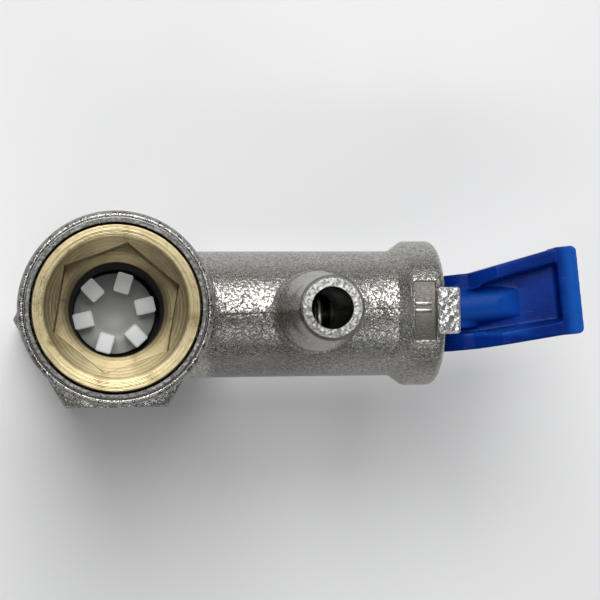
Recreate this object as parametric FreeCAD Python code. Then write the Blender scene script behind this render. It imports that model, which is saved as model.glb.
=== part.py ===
import FreeCAD, Part
import math
import os

# A safety valve for a pressurised water heater, standing on its hexagonal female end.
# +Z runs up the tube to the male inlet, +X along the relief barrel to the drain lever.
# The origin is on the tube's axis, at the face of the hexagonal end. Millimetres.

# Tube: hexagonal female end at the bottom, male inlet at the top
BODY_HEIGHT = 52.0
HEX_ACROSS_FLATS = 24.0
HEX_HEIGHT = 11.0
HEX_BEVEL = 0.9
HEX_CORNER_ROUND = 0.6
NECK_RADIUS = 10.75
NECK_STEP = 1.2
THREAD_MAJOR_RADIUS = 20.955 / 2
THREAD_MINOR_RADIUS = 18.631 / 2
MALE_THREAD_LENGTH = 12.5
MALE_CHAMFER = 0.65
RELIEF_GROOVE_WIDTH = 1.6
RELIEF_GROOVE_DROP = 0.1
FEMALE_THREAD_DEPTH = 13.0
FEMALE_CHAMFER = 1.25
WEB_HOLE_RADIUS = 4.2
WEB_TOP = 19.0
CHAMBER_RADIUS = 8.0

# Relief barrel, collar and lug
BARREL_RADIUS = 7.85
BARREL_DROP = 3.65
BARREL_FILLET = 1.6
COLLAR_RADIUS = 9.1
COLLAR_LENGTH = 4.0
COLLAR_SHOULDER = 1.7
COLLAR_EDGE = 1.0
COLLAR_ROUND = 0.7
BARREL_BORE_RADIUS = 5.8
RELIEF_PORT_RADIUS = 2.2
RELIEF_LIP_WIDTH = 0.8
RELIEF_LIP_HEIGHT = 0.8
RELIEF_SEAT_X = 13.0
LUG_WIDTH = 5.6
LUG_LENGTH = 2.8
LUG_OVERHANG = 1.4
LUG_RISE = 0.95
LUG_DEPTH = 8.0
LUG_EDGE = 0.45
PAD_WIDTH = 6.5
PAD_DROP = 0.55

# Drain spout, parallel to the tube
SPOUT_X = 23.85
SPOUT_RADIUS = 3.7
SPOUT_BASE_RADIUS = 4.75
SPOUT_TIP_DROP = 3.4
SPOUT_NECK = 2.1
SPOUT_TAPER = 3.0
SPOUT_BORE_RADIUS = 2.4
SPOUT_RIM = 0.5
SPOUT_FILLET = 1.1

# Brass insert in the inlet: guide bore and seat of the check valve
INSERT_FLANGE_RADIUS = 9.0
INSERT_FLANGE_THICKNESS = 1.2
COUNTERBORE_CLEARANCE = 0.22
INSERT_LENGTH = 20.3
INSERT_BORE_RADIUS = 5.2
INSERT_SOCKET_FLATS = 12.4
INSERT_SOCKET_DEPTH = 4.2
INSERT_SOCKET_PHASE = 20.0
INSERT_FACE_BEVEL = 0.15
INSERT_DISH_RADIUS = 7.75
INSERT_DISH_DEPTH = 0.6
INSERT_FLOOR_DROP = 0.4
INSERT_LIP_WIDTH = 1.1
INSERT_NOSE = 1.4
GASKET_THICKNESS = 0.5
GASKET_WIDTH = 0.75

# Check poppet, its rubber ring, keeper and spring
POPPET_BOSS_RADIUS = 4.85
POPPET_BOSS_HEIGHT = 1.3
POPPET_LEGS = 6
POPPET_LEG_LENGTH = 3.4
POPPET_LEG_RADIAL = 2.3
POPPET_LEG_WIDTH = 1.86
POPPET_LEG_PHASE = 13.0
POPPET_TAIL_RADIUS = 2.2
POPPET_TAIL_END = 0.35
POPPET_LEAN_X = -0.25
CHECK_GAP = 0.1
CHECK_SEAL_THICKNESS = 1.2
CHECK_DISC_RADIUS = 6.9
KEEPER_THICKNESS = 1.2
KEEPER_HUB_HEIGHT = 1.3
CHECK_SPRING_WIRE = 0.6
CHECK_SPRING_TURNS = 5.0
SPRING_CENTRING_GAP = 0.2

# Relief closure: rubber disc in its cup, screw, stem, spring and the parts that load it
RELIEF_GAP = 0.1
DISC_RADIUS = 3.9
DISC_THICKNESS = 2.0
CUP_RADIUS = 5.4
CUP_RIM = 1.6
CUP_LENGTH = 4.1
CUP_BOSS_LENGTH = 2.4
CUP_BOSS_RADIUS = 3.3
SCREW_HEAD_RADIUS = 1.7
SCREW_HEAD_HEIGHT = 0.9
SCREW_SHANK_RADIUS = 0.9
SCREW_LENGTH = 4.2
SCREW_SLOT = 0.5
STEM_RADIUS = 2.0
STEM_ENGAGEMENT = 3.0
STEM_HOLE_DEPTH = 1.0
STEM_EYE_LENGTH = 3.1
STEM_EYE_THICKNESS = 2.2
STEM_EYE_END = 2.0
STEM_RUNNING_CLEARANCE = 0.05
STEM_FREE_CLEARANCE = 0.35
RELIEF_SPRING_WIRE = 1.3
RELIEF_SPRING_TURNS = 6.0
RELIEF_SPRING_LENGTH = 12.4
SPRING_WASHER_THICKNESS = 1.0
SPRING_WASHER_RADIUS = 5.4
PLUG_RADIUS = 6.6
PLUG_BORE_EXTRA = 1.5
NUT_THICKNESS = 3.4
NUT_SLOT_WIDTH = 1.4
NUT_SLOT_DEPTH = 1.2
NUT_BUSH_GAP = 1.35
BUSH_LENGTH = 4.0
BUSH_SPANNER_RADIUS = 0.7
BUSH_SPANNER_CIRCLE = 4.7
BUSH_SPANNER_DEPTH = 1.6
O_RING_SECTION = 1.3
O_RING_GROOVE_LENGTH = 1.7

# Drain lever and its pin
LEVER_YAW = 5.0
LEVER_TRAVEL = 80.0
LEVER_LIFT = 2.0
HEEL_RADIUS = 4.0
HEEL_GAP = 0.1
LEVER_ROOT_HALF_WIDTH = 4.8
LEVER_LEFT_REACH = 6.85
LEVER_RIGHT_REACH = 4.1
LEVER_FLARE_START = 1.4
LEVER_LENGTH = 14.4
LEVER_LIP_LENGTH = 2.4
LEVER_LIP_PROUD = 0.12
LEVER_LIP_TOP = 6.0
LEVER_RIM_TOP = 5.0
LEVER_RIM_START = 4.2
LEVER_BACK_END = 3.0
LEVER_WALL = 1.45
LEVER_WALL_FOOT = 2.1
LEVER_ROOF = 0.7
LEVER_FLOOR_ROOT = 1.6
LEVER_FLOOR_END = 3.6
LEVER_CORNER = 0.7
RIDGE_HALF_WIDTH = 2.65
RIDGE_TOP = 3.25
RIDGE_START = -1.5
RIDGE_END = 4.4
RIDGE_RUN_OUT = 7.4
RIDGE_OFFSET = 0.6
SLOT_CLEARANCE = 0.3
SLOT_SIDE_CLEARANCE = 0.12
PIN_RADIUS = 0.75
PIN_EYE_CLEARANCE = 0.25
PIN_RECESS = 0.1

# Places worked out from the sizes above
NECK_TOP = BODY_HEIGHT - MALE_THREAD_LENGTH
BARREL_AXIS_Z = NECK_TOP - BARREL_DROP - BARREL_RADIUS
HEX_CORNER_RADIUS = HEX_ACROSS_FLATS / math.sqrt(3)
COUNTERBORE_RADIUS = INSERT_FLANGE_RADIUS + COUNTERBORE_CLEARANCE
COUNTERBORE_DEPTH = INSERT_FLANGE_THICKNESS + GASKET_THICKNESS
SEAT_Z = BODY_HEIGHT - INSERT_LENGTH
SEAL_TOP = SEAT_Z - CHECK_GAP
SEAL_BOTTOM = SEAL_TOP - CHECK_SEAL_THICKNESS
KEEPER_BOTTOM = SEAL_BOTTOM - KEEPER_THICKNESS
CHECK_SPRING_RADIUS = WEB_HOLE_RADIUS + CHECK_SPRING_WIRE
KEEPER_HUB_RADIUS = CHECK_SPRING_RADIUS - CHECK_SPRING_WIRE / 2 - SPRING_CENTRING_GAP
SPOUT_TIP_Z = BODY_HEIGHT - SPOUT_TIP_DROP
SPOUT_NECK_Z = BARREL_AXIS_Z + BARREL_RADIUS + SPOUT_NECK
CUP_FACE_X = RELIEF_SEAT_X + RELIEF_GAP + DISC_THICKNESS - CUP_RIM
CUP_BACK_X = CUP_FACE_X + CUP_LENGTH
CUP_END_X = CUP_BACK_X + CUP_BOSS_LENGTH
SPRING_RIGHT_X = CUP_BACK_X + RELIEF_SPRING_LENGTH
NUT_LEFT_X = SPRING_RIGHT_X + SPRING_WASHER_THICKNESS
BUSH_LEFT_X = NUT_LEFT_X + NUT_THICKNESS + NUT_BUSH_GAP
BARREL_END = BUSH_LEFT_X + BUSH_LENGTH
RELIEF_SPRING_RADIUS = CUP_BOSS_RADIUS + SPRING_CENTRING_GAP + RELIEF_SPRING_WIRE / 2
STEM_LEFT_X = CUP_END_X - STEM_ENGAGEMENT

# The heel is an eccentric round cam: turned by the travel it lifts the pin by the lift
HALF_TRAVEL = math.radians(LEVER_TRAVEL / 2)
HEEL_OFFSET = LEVER_LIFT / (2 * math.sin(HALF_TRAVEL))
HEEL_X = HEEL_OFFSET * math.sin(HALF_TRAVEL)
HEEL_Z = -HEEL_OFFSET * math.cos(HALF_TRAVEL)
YAW = math.radians(LEVER_YAW)
HEEL_REACH = (HEEL_RADIUS - HEEL_X) * math.cos(YAW) + LEVER_ROOT_HALF_WIDTH * math.sin(YAW)
PIN_X = BARREL_END + HEEL_GAP + HEEL_REACH
LEVER_ROOT_X = HEEL_X - HEEL_RADIUS
LIP_START = LEVER_LENGTH - LEVER_LIP_LENGTH

# The slot for the stem's eye, wide enough for the lever's skew across the whole ridge
SLOT_REACH = STEM_RADIUS + SLOT_CLEARANCE
SKEW_ROOM = (RIDGE_HALF_WIDTH + RIDGE_OFFSET) * math.tan(YAW)
SLOT_HALF_WIDTH = STEM_EYE_THICKNESS / 2 / math.cos(YAW) + SKEW_ROOM + SLOT_SIDE_CLEARANCE

# Past every piece's edge, for shapes that only cut or trim
BEYOND = 2 * LEVER_LENGTH

# What counts as a curve that crosses planes, and as lying at a place, when edges are picked
CURVE_DEPTH = 0.05
EDGE_REACH = 0.5

X_AXIS = FreeCAD.Vector(1, 0, 0)
Y_AXIS = FreeCAD.Vector(0, 1, 0)
Z_AXIS = FreeCAD.Vector(0, 0, 1)


def point(x, y, z):
    return FreeCAD.Vector(x, y, z)


def turned(profile):
    """A solid turned about Z from (radius, height) points, listed round the section."""
    points = [point(r, 0, z) for r, z in profile]
    face = Part.Face(Part.makePolygon(points + points[:1]))
    return face.revolve(point(0, 0, 0), Z_AXIS, 360)


def rod(radius, low, high):
    return Part.makeCylinder(radius, high - low, point(0, 0, low), Z_AXIS)


def tube(outer, inner, low, high):
    return turned([(inner, low), (outer, low), (outer, high), (inner, high)])


def block(x, y, z):
    """A box from three (low, high) pairs."""
    return Part.makeBox(x[1] - x[0], y[1] - y[0], z[1] - z[0], point(x[0], y[0], z[0]))


def hexagon(across_flats, low, high):
    corner = across_flats / math.sqrt(3)
    angles = [math.radians(60 * k) for k in range(6)]
    points = [point(corner * math.cos(a), corner * math.sin(a), low) for a in angles]
    return Part.Face(Part.makePolygon(points + points[:1])).extrude(point(0, 0, high - low))


def along_barrel(shape):
    """Lays a shape made along Z on the barrel's axis, where its height becomes X."""
    laid = shape.copy()
    laid.rotate(point(0, 0, 0), Y_AXIS, 90)
    laid.translate(point(0, 0, BARREL_AXIS_Z))
    return laid


def coil(mean_radius, wire, low, high, turns):
    """An open coil whose wire touches the planes low and high."""
    rise = high - low - wire
    helix = Part.makeHelix(rise / turns, rise, mean_radius)
    section = Part.Wire(Part.makeCircle(wire / 2, point(mean_radius, 0, 0), Y_AXIS))
    spring = Part.Wire(helix).makePipeShell([section], True, True)
    spring.translate(point(0, 0, low + wire / 2))
    return spring


def hex_end():
    prism = hexagon(HEX_ACROSS_FLATS, 0, HEX_HEIGHT)
    uprights = [e for e in prism.Edges if e.BoundBox.ZLength > HEX_HEIGHT / 2]
    prism = prism.makeFillet(HEX_CORNER_ROUND, uprights)
    flat = HEX_ACROSS_FLATS / 2
    slope = (HEX_CORNER_RADIUS - flat) / HEX_BEVEL
    reach = HEX_HEIGHT / 2 * slope
    bevels = turned([
        (0, 0), (flat, 0), (flat + reach, HEX_HEIGHT / 2), (flat, HEX_HEIGHT), (0, HEX_HEIGHT),
    ])
    return prism.common(bevels)


def tube_outside():
    """The tube's outside, with its seam turned away from the barrel."""
    groove = THREAD_MINOR_RADIUS - RELIEF_GROOVE_DROP
    step = NECK_RADIUS + NECK_STEP
    outside = turned([
        (0, 0), (groove, 0), (step, HEX_HEIGHT - NECK_STEP), (step, HEX_HEIGHT),
        (NECK_RADIUS, HEX_HEIGHT + NECK_STEP), (NECK_RADIUS, NECK_TOP), (groove, NECK_TOP),
        (groove, NECK_TOP + RELIEF_GROOVE_WIDTH / 2),
        (THREAD_MAJOR_RADIUS, NECK_TOP + RELIEF_GROOVE_WIDTH),
        (THREAD_MAJOR_RADIUS, BODY_HEIGHT - MALE_CHAMFER),
        (THREAD_MAJOR_RADIUS - MALE_CHAMFER, BODY_HEIGHT), (0, BODY_HEIGHT),
    ])
    outside.rotate(point(0, 0, 0), Z_AXIS, 180)
    return outside


def circles_at(shape, height):
    """The round edges of a turned shape that lie at a height."""
    flat = [e for e in shape.Edges if e.BoundBox.ZLength < CURVE_DEPTH]
    return [e for e in flat if abs(e.BoundBox.ZMin - height) < CURVE_DEPTH and e.isClosed()]


def barrel_outside():
    shoulder = BARREL_END - COLLAR_LENGTH
    foot = shoulder - COLLAR_SHOULDER
    barrel = turned([
        (0, 0), (BARREL_RADIUS, 0), (BARREL_RADIUS, foot),
        (COLLAR_RADIUS, shoulder), (COLLAR_RADIUS, BARREL_END), (0, BARREL_END),
    ])
    barrel = barrel.makeFillet(COLLAR_EDGE, circles_at(barrel, BARREL_END))
    soft = circles_at(barrel, shoulder) + circles_at(barrel, foot)
    return along_barrel(barrel.makeFillet(COLLAR_ROUND, soft))


def spout_outside():
    spout = turned([
        (0, BARREL_AXIS_Z), (SPOUT_BASE_RADIUS, BARREL_AXIS_Z),
        (SPOUT_BASE_RADIUS, SPOUT_NECK_Z), (SPOUT_RADIUS, SPOUT_NECK_Z + SPOUT_TAPER),
        (SPOUT_RADIUS, SPOUT_TIP_Z - SPOUT_RIM), (SPOUT_RADIUS - SPOUT_RIM, SPOUT_TIP_Z),
        (0, SPOUT_TIP_Z),
    ])
    spout.translate(point(SPOUT_X, 0, 0))
    return spout


def lug_outside():
    """The cast lug at the collar's crest, which stops the lever in its closed place."""
    right = BARREL_END + LUG_OVERHANG
    top = BARREL_AXIS_Z + COLLAR_RADIUS + LUG_RISE
    half = LUG_WIDTH / 2
    foot = top - LUG_DEPTH
    lug = block((right - LUG_LENGTH, right), (-half, half), (foot, top))
    rounded = [e for e in lug.Edges if e.BoundBox.ZMax > top - LUG_EDGE]
    return lug.makeFillet(LUG_EDGE, rounded)


def pad_recess():
    """The dropped flat on the collar's crest, beside the lug."""
    left = BARREL_END - COLLAR_LENGTH
    right = BARREL_END + LUG_OVERHANG - LUG_LENGTH
    crest = BARREL_AXIS_Z + COLLAR_RADIUS
    half = PAD_WIDTH / 2
    return block((left, right), (-half, half), (crest - PAD_DROP, crest + LUG_RISE))


def joint_edges(shape, low_x, high_x):
    """Edges above the hexagon where two cast forms meet: curved ones that lie in no plane."""
    found = []
    for edge in shape.Edges:
        box = edge.BoundBox
        crossing = min(box.XLength, box.YLength, box.ZLength) > CURVE_DEPTH
        above_hexagon = box.ZMin > HEX_HEIGHT + NECK_STEP
        if crossing and above_hexagon and box.XMin > low_x and box.XMax < high_x:
            found.append(edge)
    return found


def body_outside():
    cast = tube_outside().fuse([hex_end(), barrel_outside()]).removeSplitter()
    cast = cast.makeFillet(BARREL_FILLET, joint_edges(cast, 0, NECK_RADIUS + EDGE_REACH))
    cast = cast.fuse(spout_outside()).removeSplitter()
    spout_left = SPOUT_X - SPOUT_BASE_RADIUS - EDGE_REACH
    spout_right = SPOUT_X + SPOUT_BASE_RADIUS + EDGE_REACH
    cast = cast.makeFillet(SPOUT_FILLET, joint_edges(cast, spout_left, spout_right))
    return cast.cut(pad_recess()).fuse(lug_outside()).removeSplitter()


def tube_bores():
    mouth = THREAD_MINOR_RADIUS + FEMALE_CHAMFER
    cone_top = FEMALE_THREAD_DEPTH + (THREAD_MINOR_RADIUS - WEB_HOLE_RADIUS) / 2
    return turned([
        (0, 0), (mouth, 0), (THREAD_MINOR_RADIUS, FEMALE_CHAMFER),
        (THREAD_MINOR_RADIUS, FEMALE_THREAD_DEPTH), (WEB_HOLE_RADIUS, cone_top),
        (WEB_HOLE_RADIUS, WEB_TOP), (CHAMBER_RADIUS, WEB_TOP),
        (CHAMBER_RADIUS, BODY_HEIGHT - COUNTERBORE_DEPTH),
        (COUNTERBORE_RADIUS, BODY_HEIGHT - COUNTERBORE_DEPTH),
        (COUNTERBORE_RADIUS, BODY_HEIGHT), (0, BODY_HEIGHT),
    ])


def barrel_bores():
    lip = RELIEF_PORT_RADIUS + RELIEF_LIP_WIDTH
    floor = RELIEF_SEAT_X - RELIEF_LIP_HEIGHT
    plug_start = SPRING_RIGHT_X - PLUG_BORE_EXTRA
    return along_barrel(turned([
        (0, 0), (RELIEF_PORT_RADIUS, 0), (RELIEF_PORT_RADIUS, RELIEF_SEAT_X),
        (lip, RELIEF_SEAT_X), (lip, floor), (BARREL_BORE_RADIUS, floor),
        (BARREL_BORE_RADIUS, plug_start), (PLUG_RADIUS, plug_start),
        (PLUG_RADIUS, BARREL_END), (0, BARREL_END),
    ]))


def valve_body():
    spout_bore = rod(SPOUT_BORE_RADIUS, BARREL_AXIS_Z, SPOUT_TIP_Z)
    spout_bore.translate(point(SPOUT_X, 0, 0))
    return body_outside().cut([tube_bores(), barrel_bores(), spout_bore])


def inlet_seat_insert():
    top = BODY_HEIGHT
    under = top - INSERT_FLANGE_THICKNESS
    lip = INSERT_BORE_RADIUS + INSERT_LIP_WIDTH
    socket_floor = top - INSERT_DISH_DEPTH - INSERT_SOCKET_DEPTH
    socket_radius = INSERT_SOCKET_FLATS / 2
    piece = turned([
        (INSERT_BORE_RADIUS, SEAT_Z), (lip, SEAT_Z), (CHAMBER_RADIUS, SEAT_Z + INSERT_NOSE),
        (CHAMBER_RADIUS, under), (INSERT_FLANGE_RADIUS, under),
        (INSERT_FLANGE_RADIUS, top - INSERT_FACE_BEVEL),
        (INSERT_FLANGE_RADIUS - INSERT_FACE_BEVEL, top), (INSERT_DISH_RADIUS, top),
        (socket_radius, top - INSERT_DISH_DEPTH), (socket_radius, socket_floor),
        (INSERT_BORE_RADIUS, socket_floor - INSERT_FLOOR_DROP),
    ])
    socket = hexagon(INSERT_SOCKET_FLATS, socket_floor, top)
    socket.rotate(point(0, 0, 0), Z_AXIS, INSERT_SOCKET_PHASE)
    return piece.cut(socket)


def insert_gasket():
    top = BODY_HEIGHT - INSERT_FLANGE_THICKNESS
    return tube(CHAMBER_RADIUS + GASKET_WIDTH, CHAMBER_RADIUS, top - GASKET_THICKNESS, top)


def poppet_place(shape):
    moved = shape.copy()
    moved.translate(point(POPPET_LEAN_X, 0, 0))
    return moved


def check_poppet():
    boss_top = SEAL_TOP + POPPET_BOSS_HEIGHT
    tail_bottom = KEEPER_BOTTOM - KEEPER_HUB_HEIGHT - POPPET_TAIL_END
    poppet = rod(POPPET_BOSS_RADIUS, SEAL_TOP, boss_top)
    poppet = poppet.fuse(rod(POPPET_TAIL_RADIUS, tail_bottom, SEAL_TOP))
    half = POPPET_LEG_WIDTH / 2
    inner = POPPET_BOSS_RADIUS - POPPET_LEG_RADIAL
    leg_top = boss_top + POPPET_LEG_LENGTH
    outside = rod(POPPET_BOSS_RADIUS, boss_top, leg_top)
    legs = []
    for k in range(POPPET_LEGS):
        leg = block((inner, BEYOND), (-half, half), (boss_top, leg_top))
        leg.rotate(point(0, 0, 0), Z_AXIS, POPPET_LEG_PHASE + k * 360 / POPPET_LEGS)
        legs.append(leg.common(outside))
    return poppet_place(poppet.fuse(legs).removeSplitter())


def check_seal_ring():
    return poppet_place(tube(CHECK_DISC_RADIUS, POPPET_TAIL_RADIUS, SEAL_BOTTOM, SEAL_TOP))


def check_seal_keeper():
    hub_bottom = KEEPER_BOTTOM - KEEPER_HUB_HEIGHT
    return poppet_place(turned([
        (POPPET_TAIL_RADIUS, hub_bottom), (KEEPER_HUB_RADIUS, hub_bottom),
        (KEEPER_HUB_RADIUS, KEEPER_BOTTOM), (CHECK_DISC_RADIUS, KEEPER_BOTTOM),
        (CHECK_DISC_RADIUS, SEAL_BOTTOM), (POPPET_TAIL_RADIUS, SEAL_BOTTOM),
    ]))


def check_spring():
    wire = CHECK_SPRING_WIRE
    spring = coil(CHECK_SPRING_RADIUS, wire, WEB_TOP, KEEPER_BOTTOM, CHECK_SPRING_TURNS)
    return poppet_place(spring)


def relief_disc():
    left = RELIEF_SEAT_X + RELIEF_GAP
    return along_barrel(tube(DISC_RADIUS, SCREW_SHANK_RADIUS, left, left + DISC_THICKNESS))


def disc_holder():
    pocket = CUP_FACE_X + CUP_RIM
    return along_barrel(turned([
        (SCREW_SHANK_RADIUS, pocket), (DISC_RADIUS, pocket), (DISC_RADIUS, CUP_FACE_X),
        (CUP_RADIUS, CUP_FACE_X), (CUP_RADIUS, CUP_BACK_X), (CUP_BOSS_RADIUS, CUP_BACK_X),
        (CUP_BOSS_RADIUS, CUP_END_X), (STEM_RADIUS, CUP_END_X), (STEM_RADIUS, STEM_LEFT_X),
        (SCREW_SHANK_RADIUS, STEM_LEFT_X),
    ]))


def disc_screw():
    left = RELIEF_SEAT_X + RELIEF_GAP
    head_left = left - SCREW_HEAD_HEIGHT
    head = rod(SCREW_HEAD_RADIUS, head_left, left)
    shank = rod(SCREW_SHANK_RADIUS, left, left + SCREW_LENGTH)
    half = SCREW_SLOT / 2
    slot = block((-BEYOND, BEYOND), (-half, half), (head_left, head_left + SCREW_HEAD_HEIGHT / 2))
    return along_barrel(head.fuse(shank).removeSplitter().cut(slot))


def across_eye(radius):
    """A rod across the stem, on the lever's pin."""
    start = point(PIN_X, -STEM_RADIUS, BARREL_AXIS_Z)
    return Part.makeCylinder(radius, 2 * STEM_RADIUS, start, Y_AXIS)


def relief_stem():
    """The rod through the spring, with a hole for the screw's tip and a flat eye for the pin."""
    end = PIN_X + STEM_EYE_END
    round_rod = rod(STEM_RADIUS, STEM_LEFT_X, end)
    hole = rod(SCREW_SHANK_RADIUS, STEM_LEFT_X, STEM_LEFT_X + STEM_HOLE_DEPTH)
    stem = along_barrel(round_rod.cut(hole))
    half = STEM_EYE_THICKNESS / 2
    flats = [
        block((PIN_X - STEM_EYE_LENGTH, end), sides, (0, BODY_HEIGHT))
        for sides in ((-BEYOND, -half), (half, BEYOND))
    ]
    keep = block((0, PIN_X), (-BEYOND, BEYOND), (0, BODY_HEIGHT))
    stem = stem.cut(flats).common(keep.fuse(across_eye(STEM_RADIUS)))
    return stem.cut(across_eye(PIN_RADIUS + PIN_EYE_CLEARANCE))


def relief_spring():
    wire = RELIEF_SPRING_WIRE
    spring = coil(RELIEF_SPRING_RADIUS, wire, CUP_BACK_X, SPRING_RIGHT_X, RELIEF_SPRING_TURNS)
    return along_barrel(spring)


def spring_washer():
    hole = STEM_RADIUS + STEM_FREE_CLEARANCE
    return along_barrel(tube(SPRING_WASHER_RADIUS, hole, SPRING_RIGHT_X, NUT_LEFT_X))


def adjusting_nut():
    hole = STEM_RADIUS + STEM_FREE_CLEARANCE
    right = NUT_LEFT_X + NUT_THICKNESS
    nut = tube(PLUG_RADIUS, hole, NUT_LEFT_X, right)
    half = NUT_SLOT_WIDTH / 2
    slot = block((-half, half), (-PLUG_RADIUS, PLUG_RADIUS), (right - NUT_SLOT_DEPTH, right))
    return along_barrel(nut.cut(slot))


def end_bush():
    """The bush that closes the barrel: guides the stem, holds its ring, has two spanner holes."""
    guide = STEM_RADIUS + STEM_RUNNING_CLEARANCE
    groove = guide + O_RING_SECTION
    middle = BUSH_LEFT_X + BUSH_LENGTH / 2
    groove_left = middle - O_RING_GROOVE_LENGTH / 2
    groove_right = middle + O_RING_GROOVE_LENGTH / 2
    bush = turned([
        (guide, BUSH_LEFT_X), (PLUG_RADIUS, BUSH_LEFT_X), (PLUG_RADIUS, BARREL_END),
        (guide, BARREL_END), (guide, groove_right), (groove, groove_right),
        (groove, groove_left), (guide, groove_left),
    ])
    for side in (-1, 1):
        hole = rod(BUSH_SPANNER_RADIUS, BARREL_END - BUSH_SPANNER_DEPTH, BARREL_END)
        hole.translate(point(0, side * BUSH_SPANNER_CIRCLE, 0))
        bush = bush.cut(hole)
    return along_barrel(bush)


def stem_o_ring():
    radius = O_RING_SECTION / 2
    inner = STEM_RADIUS + STEM_RUNNING_CLEARANCE
    middle = BUSH_LEFT_X + BUSH_LENGTH / 2
    return along_barrel(Part.makeTorus(inner + radius, radius, point(0, 0, middle), Z_AXIS))


def lever_place(shape):
    """From the lever's own frame, origin on the pin and +x along the handle, to its place."""
    placed = shape.copy()
    placed.rotate(point(0, 0, 0), Z_AXIS, LEVER_YAW)
    placed.translate(point(PIN_X, 0, BARREL_AXIS_Z))
    return placed


def lever_edge(x, reach):
    """Half of the lever's width at x, on the side that has this reach at the lip."""
    run = max(0.0, x - LEVER_FLARE_START) / (LIP_START - LEVER_FLARE_START)
    return LEVER_ROOT_HALF_WIDTH + run * (reach - LEVER_ROOT_HALF_WIDTH)


def lever_corners(inset, stations, height):
    """The lever's outline from above at the x stations, drawn in by inset, at a height of x."""
    left = [point(x, lever_edge(x, LEVER_LEFT_REACH) - inset, height(x)) for x in stations]
    right = [point(x, inset - lever_edge(x, LEVER_RIGHT_REACH), height(x)) for x in reversed(stations)]
    return left + right


def lever_plan(inset, start, end):
    """A tall block with the lever's outline from above between two x values."""
    corners = lever_corners(inset, (start, LEVER_FLARE_START, end), lambda x: -BEYOND)
    return Part.Face(Part.makePolygon(corners + corners[:1])).extrude(point(0, 0, 2 * BEYOND))


def sideways(points):
    """A wide block with the given outline from the side, from (x, z) points."""
    corners = [point(x, -BEYOND, z) for x, z in points]
    return Part.Face(Part.makePolygon(corners + corners[:1])).extrude(point(0, 2 * BEYOND, 0))


def lever_side():
    """The cheek's outline from the side: round heel, straight back, rim and raised lip."""
    heel_top = point(HEEL_X, -BEYOND, HEEL_Z + HEEL_RADIUS)
    heel_left = point(LEVER_ROOT_X, -BEYOND, HEEL_Z)
    heel_bottom = point(HEEL_X, -BEYOND, HEEL_Z - HEEL_RADIUS)
    rest = [
        heel_bottom, point(LEVER_LENGTH, -BEYOND, LEVER_BACK_END),
        point(LEVER_LENGTH, -BEYOND, LEVER_LIP_TOP), point(LIP_START, -BEYOND, LEVER_RIM_TOP),
        point(LEVER_RIM_START, -BEYOND, LEVER_RIM_TOP), heel_top,
    ]
    heel = Part.Arc(heel_top, heel_left, heel_bottom).toShape()
    outline = Part.Wire([heel] + Part.makePolygon(rest).Edges)
    return Part.Face(outline).extrude(point(0, 2 * BEYOND, 0))


def back_height(x):
    """The height of the lever's back at x, on the straight line from the heel to the end."""
    start = HEEL_Z - HEEL_RADIUS
    return start + (x - HEEL_X) / (LEVER_LENGTH - HEEL_X) * (LEVER_BACK_END - start)


def floor_height(x):
    """The height of the pocket's floor at x, on a straight line from the roof at the pin."""
    run = (x - SLOT_REACH) / (LIP_START - SLOT_REACH)
    return LEVER_FLOOR_ROOT + run * (LEVER_FLOOR_END - LEVER_FLOOR_ROOT)


def lever_pocket():
    """The hollows between the cheeks: a drafted pocket, and the root over and under its roof."""
    ends = (SLOT_REACH, LIP_START)
    rim = lever_corners(LEVER_WALL, ends, lambda x: LEVER_LIP_TOP)
    foot = lever_corners(LEVER_WALL_FOOT, ends, floor_height)
    outlines = [Part.makePolygon(corners + corners[:1]) for corners in (foot, rim)]
    hollow = Part.makeLoft(outlines, True, True)
    root = lever_plan(LEVER_WALL_FOOT, LEVER_ROOT_X - LEVER_WALL, SLOT_REACH)
    roof_bottom = LEVER_FLOOR_ROOT - LEVER_ROOF
    roof = block((-BEYOND, SLOT_REACH), (-BEYOND, BEYOND), (roof_bottom, LEVER_FLOOR_ROOT))
    return hollow.fuse(root.cut(roof))


def lever_ridge():
    """The half-round ridge that runs out in the floor, with round ears at the pin."""
    half = RIDGE_HALF_WIDTH
    crown_z = RIDGE_TOP - half
    start = point(RIDGE_START, RIDGE_OFFSET, crown_z)
    crown = Part.makeCylinder(half, RIDGE_RUN_OUT - RIDGE_START, start, X_AXIS)
    sides = (RIDGE_OFFSET - half, RIDGE_OFFSET + half)
    root = block((SLOT_REACH, RIDGE_RUN_OUT), sides, (back_height(SLOT_REACH), crown_z))
    ears = Part.makeCylinder(half, 2 * half, point(0, sides[0], 0), Y_AXIS)
    inside = sideways([
        (-BEYOND, -half), (SLOT_REACH, back_height(SLOT_REACH)),
        (RIDGE_RUN_OUT, back_height(RIDGE_RUN_OUT)), (RIDGE_RUN_OUT, floor_height(RIDGE_RUN_OUT)),
        (RIDGE_END, RIDGE_TOP), (-BEYOND, RIDGE_TOP),
    ])
    return crown.fuse([root, ears]).common(inside)


def eye_slot():
    """The slot under the ridge in which the stem's flat eye swings."""
    sides = (-SLOT_HALF_WIDTH, SLOT_HALF_WIDTH)
    return block((-BEYOND, SLOT_REACH), sides, (-BEYOND, SLOT_REACH))


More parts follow.
